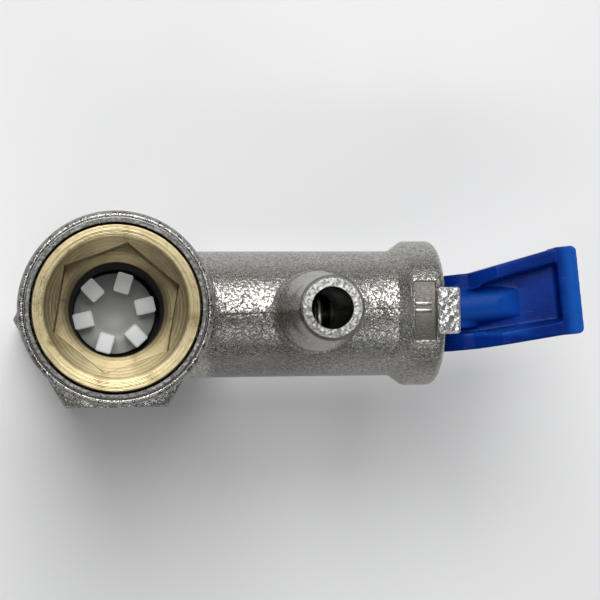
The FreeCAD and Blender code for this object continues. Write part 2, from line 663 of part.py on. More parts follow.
def drain_lever():
    side = lever_side()
    handle = lever_plan(0, LEVER_ROOT_X - LEVER_WALL, LIP_START).common(side)
    left = LEVER_LEFT_REACH + LEVER_LIP_PROUD
    lip = block((LIP_START, LEVER_LENGTH), (-LEVER_RIGHT_REACH, left), (-BEYOND, BEYOND)).common(side)
    solid = handle.fuse(lip).removeSplitter()
    end_edges = [e for e in solid.Edges if e.BoundBox.XMin > LEVER_LENGTH - EDGE_REACH]
    corners = [e for e in end_edges if e.BoundBox.ZLength > EDGE_REACH]
    shell = solid.makeFillet(LEVER_CORNER, corners).cut(lever_pocket())
    hole = Part.makeCylinder(PIN_RADIUS, 2 * BEYOND, point(0, -BEYOND, 0), Y_AXIS)
    return lever_place(shell.fuse(lever_ridge()).removeSplitter().cut([hole, eye_slot()]))


def lever_pin():
    half = LEVER_ROOT_HALF_WIDTH - PIN_RECESS
    return lever_place(Part.makeCylinder(PIN_RADIUS, 2 * half, point(0, -half, 0), Y_AXIS))


PIECES = {
    "valve_body": valve_body,
    "inlet_seat_insert": inlet_seat_insert,
    "insert_gasket": insert_gasket,
    "check_poppet": check_poppet,
    "check_seal_ring": check_seal_ring,
    "check_seal_keeper": check_seal_keeper,
    "check_spring": check_spring,
    "relief_disc": relief_disc,
    "disc_holder": disc_holder,
    "disc_screw": disc_screw,
    "relief_stem": relief_stem,
    "relief_spring": relief_spring,
    "spring_washer": spring_washer,
    "adjusting_nut": adjusting_nut,
    "end_bush": end_bush,
    "stem_o_ring": stem_o_ring,
    "drain_lever": drain_lever,
    "lever_pin": lever_pin,
}


def main():
    os.makedirs("parts", exist_ok=True)
    for name, make in PIECES.items():
        shape = make()
        shape.exportStep("parts/" + name + ".step")
        print(name, len(shape.Solids), "solid", round(shape.Volume, 2), "mm3", "valid", shape.isValid())
    print("pin at x", round(PIN_X, 3), "seat at z", round(SEAT_Z, 3))


main()
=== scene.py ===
# %% [markdown]
# # A water heater's safety valve
# The real part is one sand-cast brass body, plated with nickel, with a bare brass insert
# screwed into its inlet, a white plastic check poppet inside that, and a blue lever on its side
# barrel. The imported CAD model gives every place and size. This notebook dresses it: it cuts the
# real threads, softens what a mould softens, and gives each piece the finish of its material.

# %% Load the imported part
import math
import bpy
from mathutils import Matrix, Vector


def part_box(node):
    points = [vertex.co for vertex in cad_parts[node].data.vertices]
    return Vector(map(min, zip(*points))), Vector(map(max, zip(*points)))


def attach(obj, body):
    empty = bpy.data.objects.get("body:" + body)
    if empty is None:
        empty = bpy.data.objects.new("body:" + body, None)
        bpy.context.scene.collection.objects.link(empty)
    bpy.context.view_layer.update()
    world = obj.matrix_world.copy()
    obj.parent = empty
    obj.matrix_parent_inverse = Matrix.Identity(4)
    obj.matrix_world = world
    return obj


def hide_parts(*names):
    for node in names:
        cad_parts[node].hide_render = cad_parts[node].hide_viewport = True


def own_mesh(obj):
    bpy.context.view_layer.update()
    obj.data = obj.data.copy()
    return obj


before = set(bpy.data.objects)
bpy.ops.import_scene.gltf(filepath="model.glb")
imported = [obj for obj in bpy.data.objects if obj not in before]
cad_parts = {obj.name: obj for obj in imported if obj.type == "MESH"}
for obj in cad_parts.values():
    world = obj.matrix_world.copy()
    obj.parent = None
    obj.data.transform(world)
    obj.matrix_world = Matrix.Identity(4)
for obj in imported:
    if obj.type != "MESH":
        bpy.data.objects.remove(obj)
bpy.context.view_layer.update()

from types import SimpleNamespace

import bmesh
import bpy
from mathutils import Matrix, Vector

print("pieces in the CAD model:", len(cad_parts))

# %% [markdown]
# The CAD model is in metres, but a valve is easier to think about in millimetres, so pieces
# are shaped in millimetres and scaled once, when they are finished. The main places are read
# from the CAD pieces instead of being written again, and only the spout's and the lug's places
# on the body are given here, because the body's box doesn't tell them.

# %% Main places, in millimetres
MM = 0.001
LUG_REACH, LUG_HEIGHT = 1.4, 10.05
SPOUT_X, SPOUT_DROP = 23.85, 3.4


def box_mm(node):
    """The lowest and the highest corner of a CAD piece."""
    return [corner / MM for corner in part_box(node)]


INLET_TOP = box_mm("valve_body")[1].z
AXIS_Z = sum(corner.z for corner in box_mm("relief_stem")) / 2
BARREL_END = box_mm("end_bush")[1].x
LUG_RIGHT, LUG_TOP = BARREL_END + LUG_REACH, AXIS_Z + LUG_HEIGHT
SPOUT_TOP = INLET_TOP - SPOUT_DROP
print("inlet top", round(INLET_TOP, 2))
print("barrel axis", round(AXIS_Z, 2), "barrel end", round(BARREL_END, 2))

# %% [markdown]
# The camera hangs almost straight above the valve and leans a little. Its place and lens were
# worked out from the outlines in the photograph, so it comes first: everything else is judged
# through it. It could also be aimed at the valve with a constraint, but three vectors say
# exactly where it looks and how it is rolled.

# %% The camera
CAMERA_PLACE = Vector((-0.21, -5.46, 200.95)) * MM
LEAN_X, LEAN_Y = math.radians(7.617), math.radians(2.383)
ROLL = math.radians(0.633)
LENS, SENSOR_WIDTH = 83.28, 36
NEAREST, FARTHEST = 0.01, 10

view = Vector((math.tan(LEAN_X), math.tan(LEAN_Y), -1)).normalized()
right = view.cross(Vector((math.sin(ROLL), math.cos(ROLL), 0))).normalized()
up = right.cross(view)
aim = Matrix((right, up, -view)).transposed().to_4x4()
camera_data = bpy.data.cameras.new("camera")
camera_data.lens = LENS
camera_data.sensor_width = SENSOR_WIDTH
camera_data.clip_start, camera_data.clip_end = NEAREST, FARTHEST
camera = bpy.data.objects.new("camera", camera_data)
camera.matrix_world = Matrix.Translation(CAMERA_PLACE) @ aim
bpy.context.scene.collection.objects.link(camera)
bpy.context.scene.camera = camera
bpy.context.scene.view_settings.view_transform = "Standard"
print("lens", round(LENS, 1), "mm")

# %% [markdown]
# A material is a chain of small sums on positions and noise. Placed by hand in the editor that
# is fine for three nodes but hard to follow for fifty, so one class wraps a socket and lets
# ordinary arithmetic add the Math nodes.

# %% Arithmetic on sockets
class Value:
    """A number that varies over a surface, with ordinary arithmetic."""

    def __init__(self, finish, socket):
        self.finish = finish
        self.socket = socket

    def math(self, operation, *others):
        node = self.finish.add("ShaderNodeMath", operation=operation)
        for index, item in enumerate((self, *others)):
            self.finish.feed(node.inputs[index], item)
        return Value(self.finish, node.outputs[0])

    def __add__(self, other):
        return self.math("ADD", other)

    def __sub__(self, other):
        return self.math("SUBTRACT", other)

    def __mul__(self, other):
        return self.math("MULTIPLY", other)

    def __rsub__(self, other):
        return (self * -1.0) + other

    def __abs__(self):
        return self.math("ABSOLUTE")

    __radd__ = __add__
    __rmul__ = __mul__

    def root(self):
        return self.math("SQRT")

    def wave(self):
        return self.math("SINE")

    def least(self, other):
        return self.math("MINIMUM", other)

    def rise(self, low, high):
        """0 below low, 1 above high, with a soft step between them; high may be the lower."""
        made = self.finish.add("ShaderNodeMapRange", interpolation_type="SMOOTHSTEP")
        for index, item in enumerate((self, min(low, high), max(low, high))):
            self.finish.feed(made.inputs[index], item)
        step = Value(self.finish, made.outputs[0])
        return step if high > low else 1.0 - step


print("arithmetic ready")

# %% [markdown]
# The second class is the material itself. It holds the node tree and its main shader, and one
# method adds any other node. Every pattern reads Object coordinates, so it has its real size on
# each piece and stays on the piece when the valve opens. UV maps would do this too, but spun and
# cut pieces have none.

# %% A material under construction
class Finish:
    """A surface material: its node tree, its main shader and the ways to feed it."""

    def __init__(self, name, **constants):
        self.material = bpy.data.materials.new(name)
        self.material.use_nodes = True
        self.tree = self.material.node_tree
        self.shader = self.tree.nodes["Principled BSDF"]
        self.place = self.add("ShaderNodeTexCoord").outputs["Object"]
        self.give(**constants)

    def add(self, kind, **settings):
        node = self.tree.nodes.new(kind)
        for key, value in settings.items():
            setattr(node, key, value)
        return node

    def feed(self, socket, item):
        if isinstance(item, Value):
            self.tree.links.new(item.socket, socket)
        elif isinstance(item, bpy.types.NodeSocket):
            self.tree.links.new(item, socket)
        elif socket.type == "RGBA":
            socket.default_value = (*item, 1)
        else:
            socket.default_value = item

    def node(self, kind, output, settings=None, **sockets):
        """Any node: its settings first, then the values or links of its sockets."""
        made = self.add(kind, **(settings or {}))
        for name, item in sockets.items():
            index = int(name[1:]) if name[0] == "_" else name.replace("_", " ")
            self.feed(made.inputs[index], item)
        return Value(self, made.outputs[output])

    def give(self, **sockets):
        """Feeds the main shader's own sockets, named with _ for each space."""
        for name, item in sockets.items():
            self.feed(self.shader.inputs[name.replace("_", " ")], item)

    def axes(self):
        """The place on the piece, in millimetres, as three values."""
        parts = self.add("ShaderNodeSeparateXYZ")
        self.feed(parts.inputs[0], self.place)
        return [Value(self, output) * (1 / MM) for output in parts.outputs]

    def noise(self, size, detail=3.0, roughness=0.5, place=None, distortion=0.0):
        """Cloudy noise from 0 to 1 whose blobs are about size millimetres across."""
        return self.node("ShaderNodeTexNoise", 0, {"noise_dimensions": "3D"},
                         Vector=place or self.place, Scale=1 / (size * MM), Detail=detail,
                         Roughness=roughness, Distortion=distortion)

    def grains(self, size):
        """Cells about size millimetres across, as the distance from each cell's middle."""
        return self.node("ShaderNodeTexVoronoi", 0, {"feature": "F1"}, Vector=self.place,
                         Scale=1 / (size * MM))

    def stretched(self, scale):
        """The place, squeezed or drawn out along each axis."""
        return self.node("ShaderNodeVectorMath", 0, {"operation": "MULTIPLY"},
                         _0=self.place, _1=scale).socket

    def blend(self, share, first, second):
        """From the first colour to the second as share goes from 0 to 1."""
        made = self.add("ShaderNodeMix", data_type="RGBA")
        self.feed(made.inputs["Factor"], share)
        for index, colour in ((6, first), (7, second)):
            self.feed(made.inputs[index], colour)
        return Value(self, made.outputs[2])

    def relief(self, height, depth):
        """Raises the surface by height times depth, in millimetres."""
        bump = self.add("ShaderNodeBump")
        bump.inputs["Strength"].default_value = 1.0
        bump.inputs["Distance"].default_value = depth * MM
        self.feed(bump.inputs["Height"], height)
        self.give(Normal=bump.outputs[0])


print("material class ready")

# %% [markdown]
# On the real body one bath of nickel covers surfaces of different kinds: sand-cast skin, turned
# faces and threads, granular rims, a dull recess beside the lug. They could be separate
# materials on separate faces, but then every border would be a hard line. Here each kind is a
# zone, a share from 0 to 1 that comes from the distances to the three axes, with soft borders.
# Each pair below is where a border's step starts and where it ends.

# %% Zones of the casting
MALE_RADIUS, MALE_FOOT = (10.62, 10.56), (38.8, 39.1)
RING_OUTSIDE, RING_FACE = (9.66, 9.6), (INLET_TOP - 0.3, INLET_TOP - 0.1)
GROOVE_RADIUS = (9.6, 9.68)
EDGE_RADIUS, EDGE_FACE = (9.8, 9.9), (INLET_TOP - 0.55, INLET_TOP - 0.35)
BOTTOM_FACE = (0.06, 0.02)
COLLAR_RADIUS, COLLAR_FACE = (9.0, 8.8), (BARREL_END - 0.12, BARREL_END - 0.04)
NECK_RADIUS, NECK_FOOT = (5.3, 4.9), (37.2, 38.4)
NECK_HEAD = (INLET_TOP - 3.5, INLET_TOP - 3.9)
TIP_RADIUS, TIP_FACE = (3.8, 3.7), (SPOUT_TOP - 0.45, SPOUT_TOP - 0.3)
TIP_EDGE, TIP_SIDE = (3.3, 3.4), (SPOUT_TOP - 0.7, SPOUT_TOP - 0.5)
LUG_LEFT, LUG_FACE = (LUG_RIGHT - 2.95, LUG_RIGHT - 2.75), (LUG_TOP - 0.6, LUG_TOP - 0.3)
FLAT_LEFT, FLAT_RIGHT = (35.4, 35.6), (38.5, 38.3)
FLAT_LOW, FLAT_HIGH = (LUG_TOP - 1.75, LUG_TOP - 1.65), (LUG_TOP - 1.3, LUG_TOP - 1.4)
SEAM_SLOPE, SEAM_Y, SEAM_STEP = 0.0295, 0.63, (-0.05, 0.2)
BARREL_LEFT, BARREL_FADE = (10.6, 11.2), (30.0, 20.0)
NEAR_SIDE, NEAR_LEFT = (-5.0, -7.0), (11.0, 12.0)


def casting_zones(made):
    """Shares from 0 to 1 that tell the casting's kinds of surface apart."""
    x, y, z = made.axes()
    from_tube = (x * x + y * y).root()
    from_barrel = (y * y + (z - AXIS_Z) * (z - AXIS_Z)).root()
    from_spout = ((x - SPOUT_X) * (x - SPOUT_X) + y * y).root()
    thread = from_tube.rise(*MALE_RADIUS) * z.rise(*MALE_FOOT) * from_tube.rise(*GROOVE_RADIUS)
    collar = x.rise(*COLLAR_FACE) * from_barrel.rise(*COLLAR_RADIUS)
    ring = from_tube.rise(*RING_OUTSIDE) * z.rise(*RING_FACE)
    above_seam = (y - (x * SEAM_SLOPE - SEAM_Y) + made.noise(1.6) * 0.12).rise(*SEAM_STEP)
    return SimpleNamespace(
        cut=(thread + collar + z.rise(*BOTTOM_FACE)).least(1.0),
        neck=from_spout.rise(*NECK_RADIUS) * z.rise(*NECK_FOOT) * z.rise(*NECK_HEAD),
        lug=x.rise(*LUG_LEFT) * z.rise(*LUG_FACE),
        flat=x.rise(*FLAT_LEFT) * x.rise(*FLAT_RIGHT) * z.rise(*FLAT_LOW) * z.rise(*FLAT_HIGH),
        tops=from_spout.rise(*TIP_RADIUS) * z.rise(*TIP_FACE) + ring,
        edge=from_tube.rise(*EDGE_RADIUS) * z.rise(*EDGE_FACE),
        tip_side=from_spout.rise(*TIP_EDGE) * z.rise(*TIP_SIDE),
        above_seam=above_seam,
        below_seam=(1.0 - above_seam) * x.rise(*BARREL_FADE) * x.rise(*BARREL_LEFT),
        near_side=y.rise(*NEAR_SIDE) * x.rise(*NEAR_LEFT))


print("zones ready")

# %% [markdown]
# Where sand formed the body, the plating lies over small grains and pits, so its highlights
# break up, and the two halves of the mould left a low step along the barrel. Where a tool cut
# it, on the threads and the collar's end, it is smooth. The rims are granular and hardly shine,
# and the inlet's rounded edge is flecked. Painted shade darkens the colour below the seam, on
# the viewer's side of the barrel, round the spout tip's outer edge and in the dropped flat beside
# the lug. All of this could be painted by hand, but noise of the right size needs no image. The
# two ribs beside the lug were rubbed bright and get a nickel of their own.

# %% The plated casting
SAND_NICKEL, BRIGHT_NICKEL = (0.43, 0.42, 0.39), (0.82, 0.81, 0.78)
# The second colour on the next line is a painted shade for the casting's shaded zones.
PIT_COLOUR, PAINTED_SHADE_NICKEL = (0.17, 0.165, 0.15), (0.15, 0.14, 0.125)
WORN_NICKEL, POLISHED_NICKEL = (0.60, 0.59, 0.56), (0.78, 0.77, 0.74)
CASTING_RELIEF, RUBBED_RELIEF = 0.15, 0.05


def plated_casting():
    made = Finish("nickel_plated_casting")
    zone = casting_zones(made)
    sand = made.noise(0.27, detail=3.0, roughness=0.6)
    skin = made.noise(0.33, detail=2.0, roughness=0.6).rise(0.37, 0.52)
    flecks = made.noise(0.5, detail=2.0, roughness=0.7).rise(0.42, 0.56)
    marks = made.noise(1.0, place=made.stretched((0.02, 0.02, 9.0))) * 0.12
    calm = (zone.neck * 0.75 + zone.flat * 0.85).least(1.0)
    cast = (skin * 0.85 + sand * 0.45 + made.noise(3.2, detail=1.0) * 0.5) * (1.0 - calm)
    cast = cast + zone.above_seam * (1.0 - zone.flat - zone.lug) * 0.8
    cast = cast + made.grains(0.9) * zone.lug * 2.2 + made.grains(0.45) * zone.tops * 1.8
    height = cast * (1.0 - zone.cut) + marks * zone.cut + flecks * zone.edge * 0.2
    made.relief(height, CASTING_RELIEF)
    rough = sand * 0.2 + 0.12 + zone.tops * 0.3 + zone.lug * 0.14 + zone.flat * 0.3
    made.give(Metallic=1.0 - zone.tops * 0.75 - zone.edge * flecks * 0.5,
              Roughness=rough * (1.0 - zone.cut) + zone.cut * 0.2)
    pits = (1.0 - skin) * (1.0 - calm * 0.7) * (zone.tops * 0.35 + 0.36)
    nickel = made.blend((zone.tops + zone.lug + zone.cut).least(1.0), SAND_NICKEL, BRIGHT_NICKEL)
    pitted = made.blend(pits, nickel, PIT_COLOUR)
    # Painted shade: below the seam, on the viewer's side, round the spout tip's edge and in the
    # dropped flat, the colour is darkened.
    painted_shade = zone.below_seam * 0.4 + zone.flat + zone.tip_side * 0.7 + zone.near_side * 0.4
    made.give(Base_Color=made.blend(painted_shade.least(1.0), pitted, PAINTED_SHADE_NICKEL))
    return made.material


def rubbed_nickel():
    made = Finish("rubbed_nickel", Metallic=1.0)
    wear = made.noise(0.3, detail=2.0)
    made.relief(wear, RUBBED_RELIEF)
    made.give(Roughness=wear * 0.2 + 0.25, Base_Color=made.blend(wear, WORN_NICKEL, POLISHED_NICKEL))
    return made.material


CASTING = plated_casting()
RUBBED = rubbed_nickel()
print("finish:", CASTING.name, RUBBED.name)

# %% [markdown]
# Bare brass turned on a lathe shows fine rings round its axis and a warm yellow colour, with
# brown stains and small dull patches where hands and polish never reach. The insert turns round
# the tube's axis and the small parts in the barrel round the barrel's axis, so the same recipe
# is used for both. A sine of the radius makes the rings, since the real ones come from the
# tool's even feed, and noise in it keeps them from looking ruled. Inside the flange the dish and
# socket are painted darker and browner: partly patina in the hollow, partly painted shade. The
# wall of the insert's bore mirrors only the dark inside of the tube, so that dark reflection is
# painted into its colour as a nearly black painted shade, and it has no metal's shine.

# %% Turned brass
CLEAN_BRASS, STAINED_BRASS = (0.38, 0.32, 0.185), (0.17, 0.125, 0.06)
DISH_PATINA_AND_SHADE_BRASS, BORE_PAINTED_SHADE = (0.28, 0.225, 0.125), (0.012, 0.011, 0.010)
BRASS_RELIEF = 0.018
DISH_RADIUS = (7.78, 7.6)
BORE_RADIUS, BORE_MOUTH = (5.32, 5.22), (47.0, 46.4)


def turned_brass(name, along_barrel):
    made = Finish(name, Metallic=1.0)
    x, y, z = made.axes()
    across = z - AXIS_Z if along_barrel else x
    height = x if along_barrel else z
    radius = (across * across + y * y).root()
    chatter = made.noise(6.0, detail=1.0)
    rings = (radius * 15.0 + height * 7.0 + chatter * 5.0).wave()
    fine = (radius * 41.0 + height * 23.0 + chatter * 3.0).wave()
    specks = made.noise(0.5, detail=4.0, roughness=0.7)
    made.relief(rings * 0.2 + fine * 0.2 + specks * 0.9, BRASS_RELIEF)
    polish = specks * 0.16 + 0.22
    patches = made.noise(0.8, detail=4.0, roughness=0.7).rise(0.48, 0.70)
    stain = made.noise(2.6, detail=3.0).rise(0.45, 0.75) * 0.7 + patches * 0.4
    brass = made.blend(stain.least(0.9), CLEAN_BRASS, STAINED_BRASS)
    if along_barrel:
        made.give(Roughness=polish, Base_Color=brass)
        return made.material
    # Dish and socket: rougher, and darker and browner in colour, partly patina and partly painted
    # shade.
    dish_dulling_and_shade = radius.rise(*DISH_RADIUS) * 0.55
    # Bore wall: its nearly black colour is a painted shade for the dark reflection it would show.
    bore = radius.rise(*BORE_RADIUS) * z.rise(*BORE_MOUTH)
    brown = made.blend(dish_dulling_and_shade, brass, DISH_PATINA_AND_SHADE_BRASS)
    made.give(Roughness=polish + bore * 0.5 + dish_dulling_and_shade * 0.25, Metallic=1.0 - bore,
              Base_Color=made.blend(bore, brown, BORE_PAINTED_SHADE))
    return made.material


INSERT_BRASS = turned_brass("insert_brass", along_barrel=False)
BARREL_BRASS = turned_brass("barrel_brass", along_barrel=True)
print("finish:", INSERT_BRASS.name, BARREL_BRASS.name)

# %% [markdown]
# The lever is moulded from a deep blue plastic with a fine spark-eroded texture. A painted
# highlight makes its raised lip and the top of its ridge paler, and it has a few long scratches.

# %% Blue plastic
DEEP_BLUE, FLOW_BLUE = (0.0006, 0.017, 0.16), (0.001, 0.026, 0.225)
HIGHLIGHT_BLUE, SCRATCH_BLUE = (0.008, 0.100, 0.47), (0.05, 0.15, 0.50)
PLASTIC_RELIEF = 0.03
LIP_FACE = (AXIS_Z + 5.0, AXIS_Z + 5.7)
RIDGE_FACE = (AXIS_Z + 2.3, AXIS_Z + 3.1)
RIDGE_FADE, RIDGE_SIDE = (52.5, 49.5), (3.3, 2.7)


def blue_plastic():
    made = Finish("blue_plastic", IOR=1.45, Specular_IOR_Level=0.10)
    x, y, z = made.axes()
    texture = made.noise(0.16, detail=2.0)
    flow = made.noise(3.5, detail=2.0, distortion=0.4)
    scratch = made.noise(0.8, place=made.stretched((0.35, 5.0, 1.0)), detail=2.0).rise(0.62, 0.72)
    made.relief(texture * 0.6 + flow * 1.4 - scratch * 0.5, PLASTIC_RELIEF)
    lip = z.rise(*LIP_FACE)
    ridge = z.rise(*RIDGE_FACE) * x.rise(*RIDGE_FADE) * abs(y).rise(*RIDGE_SIDE)
    blue = made.blend(flow.rise(0.35, 0.7), DEEP_BLUE, FLOW_BLUE)
    # Painted highlight: the lip and the ridge's top are made paler in colour.
    blue = made.blend((lip * 0.8 + ridge * 0.42).least(0.8), blue, HIGHLIGHT_BLUE)
    made.give(Roughness=texture * 0.12 + flow * 0.1 + 0.2,
              Base_Color=made.blend(scratch * 0.12, blue, SCRATCH_BLUE))
    return made.material


BLUE = blue_plastic()
print("finish:", BLUE.name)

# %% [markdown]
# The poppet is milky: light goes into it and comes out at its tips, which look white, while its
# disc deep in the bore looks grey; that white and that grey are painted into its colour, a painted
# highlight on the tips and a painted shade on the disc. Subsurface scattering softens it a little.
# It doesn't carry light up along the legs, as the real plastic does, so a faint glow at the tips
# stands for that.

# %% Milky plastic
MILKY_PAINTED_SHADE, MILKY_PAINTED_LIGHT = (0.57, 0.58, 0.535), (0.84, 0.85, 0.83)
DISC_GLOW, TIP_GLOW = (0.02, 0.022, 0.022), (0.22, 0.223, 0.218)
TIP_HEIGHT = (34.4, 35.6)


def milky_plastic():
    made = Finish("milky_plastic", IOR=1.49, Subsurface_Weight=0.35, Subsurface_Scale=0.0012,
                  Emission_Strength=1.0)
    cloud = made.noise(1.4, detail=2.0)
    made.relief(cloud + made.noise(0.3) * 0.3, PLASTIC_RELIEF)
    tips = made.axes()[2].rise(*TIP_HEIGHT)
    # Painted light: the tips are coloured white and the disc grey, by height.
    made.give(Roughness=cloud * 0.1 + 0.32, Base_Color=made.blend(tips, MILKY_PAINTED_SHADE, MILKY_PAINTED_LIGHT),
              Emission_Color=made.blend(tips, DISC_GLOW, TIP_GLOW))
    return made.material


MILKY = milky_plastic()
print("finish:", MILKY.name)

# %% [markdown]
# Rubber and steel are mostly inside. The rubber is dull with a dusty bloom, and the springs and
# the pin are drawn steel with marks along the wire.

# %% Rubber and steel
CLEAN_RUBBER, DUSTY_RUBBER = (0.014, 0.014, 0.015), (0.045, 0.045, 0.045)
DARK_STEEL, LIGHT_STEEL = (0.52, 0.52, 0.53), (0.68, 0.67, 0.66)
RUBBER_RELIEF, STEEL_RELIEF = 0.02, 0.01


def black_rubber():
    made = Finish("black_rubber", IOR=1.5)
    bloom = made.noise(1.1, detail=3.0)
    made.relief(made.noise(0.25, detail=3.0), RUBBER_RELIEF)
    made.give(Roughness=bloom * 0.2 + 0.55,
              Base_Color=made.blend(bloom.rise(0.45, 0.8), CLEAN_RUBBER, DUSTY_RUBBER))
    return made.material


def drawn_steel():
    made = Finish("drawn_steel", Metallic=1.0)
    marks = made.noise(0.5, place=made.stretched((1.0, 0.15, 1.0)), detail=3.0)
    made.relief(marks, STEEL_RELIEF)
    made.give(Roughness=marks * 0.15 + 0.2, Base_Color=made.blend(marks, DARK_STEEL, LIGHT_STEEL))
    return made.material


RUBBER = black_rubber()
STEEL = drawn_steel()
print("finish:", RUBBER.name, STEEL.name)

# %% [markdown]
# Shapes start as a bmesh in millimetres. Some are spun from a section, and some begin as a
# copy of the CAD piece, with its loose triangles joined. A section can be spun once round, as
# on a lathe, or along a helix, with a rise at each step.

# %% Starting a shape
CAD_JOIN, SPUN_JOIN = 0.002, 0.0005
CENTRE, UP = (0, 0, 0), (0, 0, 1)


def cad_copy(node):
    mesh = bmesh.new()
    mesh.from_mesh(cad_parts[node].data)
    bmesh.ops.scale(mesh, vec=(1 / MM,) * 3, verts=mesh.verts)
    bmesh.ops.remove_doubles(mesh, verts=mesh.verts, dist=CAD_JOIN)
    return mesh


def outline(mesh, section):
    """The corners and edges of a closed section, given as (radius, height) pairs."""
    corners = [mesh.verts.new((radius, 0, height)) for radius, height in section]
    return corners + [mesh.edges.new(ends) for ends in zip(corners, corners[1:] + corners[:1])]


def lathe(section, steps):
    """A closed section, spun once round the tube's axis."""
    mesh = bmesh.new()
    bmesh.ops.spin(mesh, geom=outline(mesh, section), cent=CENTRE, axis=UP, angle=2 * math.pi,
                   steps=steps, use_merge=True)
    bmesh.ops.recalc_face_normals(mesh, faces=mesh.faces)
    return mesh


def helix(mesh, geom, climb, turns, steps):
    """Spins an outline upwards, by climb at each step, and closes both ends."""
    bmesh.ops.spin(mesh, geom=geom, cent=CENTRE, axis=UP, dvec=(0, 0, climb),
                   angle=2 * math.pi * turns, steps=steps)
    bmesh.ops.remove_doubles(mesh, verts=mesh.verts, dist=SPUN_JOIN)
    bmesh.ops.holes_fill(mesh, edges=mesh.edges)
    bmesh.ops.recalc_face_normals(mesh, faces=mesh.faces)


def turn(mesh, verts, angle, axis="Z"):
    """Turns some corners round an axis through the origin."""
    bmesh.ops.rotate(mesh, verts=verts, cent=CENTRE, matrix=Matrix.Rotation(angle, 3, axis))


print("shape tools ready")

# %% [markdown]
# Modifiers finish a piece and are then applied, so its mesh is what is seen. The last step
# scales it to metres, shades it, gives it its material and lets it ride on its CAD body.

# %% Finishing a piece
def as_object(name, mesh):
    data = bpy.data.meshes.new(name)
    mesh.to_mesh(data)
    mesh.free()
    made = bpy.data.objects.new(name, data)
    bpy.context.scene.collection.objects.link(made)
    return made


def settle(piece):
    """Makes the modifiers' result the piece's own mesh."""
    result = piece.evaluated_get(bpy.context.evaluated_depsgraph_get())
    piece.data = bpy.data.meshes.new_from_object(result)
    piece.modifiers.clear()


def combine(piece, tool, operation):
    """Takes the tool's solid away from the piece, or joins it on, and drops the tool."""
    boolean = piece.modifiers.new("combine", "BOOLEAN")
    boolean.operation = operation
    boolean.solver = "EXACT"
    boolean.object = tool
    settle(piece)
    bpy.data.objects.remove(tool)


def dress(piece, body, finish, sharp=32, stands_for=()):
    """Scales, shades and colours a piece; edges over the angle sharp, in degrees, stay crisp."""
    piece.data.transform(Matrix.Scale(MM, 4))
    piece.data.shade_smooth()
    piece.data.set_sharp_from_angle(angle=math.radians(sharp))
    piece.data.materials.clear()
    piece.data.materials.append(finish)
    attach(piece, body)
    if stands_for:
        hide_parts(*stands_for)
    piece.data.calc_loop_triangles()
    print(piece.name, len(piece.data.loop_triangles), "triangles")


print("finishing tools ready")

# %% [markdown]
# Both ends carry a G1/2 pipe thread: 14 turns to the inch with flanks at 55 degrees. A real
# thread is cut into a finished cylinder, and the same is done here: a tooth of the thread's form
# is spun along a helix, and that long tooth is subtracted. Spinning with a rise per step gives
# the helix without working out any points. Crests and roots are eased, as a worn die leaves
# them.

# %% The thread cutter
PITCH = 25.4 / 14
THREAD_OUT, THREAD_IN = 20.955 / 2, 18.631 / 2
HALF_ANGLE = math.radians(27.5)
HALF_CREST = 0.151
CREST_EASE_DEPTH, CREST_EASE_WIDTH = 0.08, 0.07
ROOT_EASE_DEPTH, ROOT_WIDER, ROOT_NARROWER = 0.1, 0.05, 0.06
STEPS_PER_TURN = 72


def thread_tooth(tip, surface, beyond, low, turns):
    """A helical tooth from a radius beyond the surface to its tip, starting at height low."""
    flank = abs(surface - tip) * math.tan(HALF_ANGLE)
    root = PITCH / 2 - flank - HALF_CREST
    wide = root + flank
    inward = 1 if tip > surface else -1
    half = [(beyond, wide + CREST_EASE_WIDTH), (surface, wide + CREST_EASE_WIDTH),
            (surface + CREST_EASE_DEPTH * inward, wide),
            (tip - ROOT_EASE_DEPTH * inward, root + ROOT_WIDER), (tip, root - ROOT_NARROWER)]
    section = [(radius, low - width) for radius, width in half]
    section += [(radius, low + width) for radius, width in reversed(half)]
    mesh = bmesh.new()
    helix(mesh, outline(mesh, section), PITCH / STEPS_PER_TURN, turns, int(STEPS_PER_TURN * turns))
    return as_object("thread_tooth", mesh)


print("pitch", round(PITCH, 3), "mm")

# %% [markdown]
# The body starts as a copy of the CAD casting, which has the right fillets, bores and rounded
# hexagon. Its inlet end is a plain ring there, so that end is cut off and turned anew: a flat
# inner ring, a shallow groove and a rounded outer edge. Then both threads are cut. The section
# below lists each corner's radius and its depth under the inlet's top.

# %% The cast body
RIM_SECTION = [
    (9.22, 0.95), (10.47, 0.95), (10.47, 0.42), (10.40, 0.31), (10.30, 0.19), (10.22, 0.11),
    (10.14, 0.05), (10.06, 0.015), (9.98, 0), (9.90, 0.01), (9.84, 0.05), (9.81, 0.11),
    (9.76, 0.14), (9.70, 0.14), (9.66, 0.10), (9.63, 0.03), (9.59, 0), (9.31, 0), (9.26, 0.02),
    (9.22, 0.08),
]
OLD_RIM = [(9.23, 0.9), (11.2, 0.9), (11.2, -0.3), (9.23, -0.3)]
RIM_STEPS = 180
MALE_THREAD = dict(tip=THREAD_IN, surface=THREAD_OUT, beyond=11.4, low=40.0, turns=5.8)
FEMALE_THREAD = dict(tip=THREAD_OUT, surface=THREAD_IN, beyond=8.9, low=-0.6, turns=6.6)


def rim_tool(name, section):
    under_top = [(radius, INLET_TOP - depth) for radius, depth in section]
    return as_object(name, lathe(under_top, RIM_STEPS))


def cast_body():
    piece = as_object("cast_body", cad_copy("valve_body"))
    combine(piece, rim_tool("old_rim", OLD_RIM), "DIFFERENCE")
    combine(piece, rim_tool("turned_rim", RIM_SECTION), "UNION")
    for thread in (MALE_THREAD, FEMALE_THREAD):
        combine(piece, thread_tooth(**thread), "DIFFERENCE")
    dress(piece, "valve", CASTING, stands_for=("valve_body",))


cast_body()

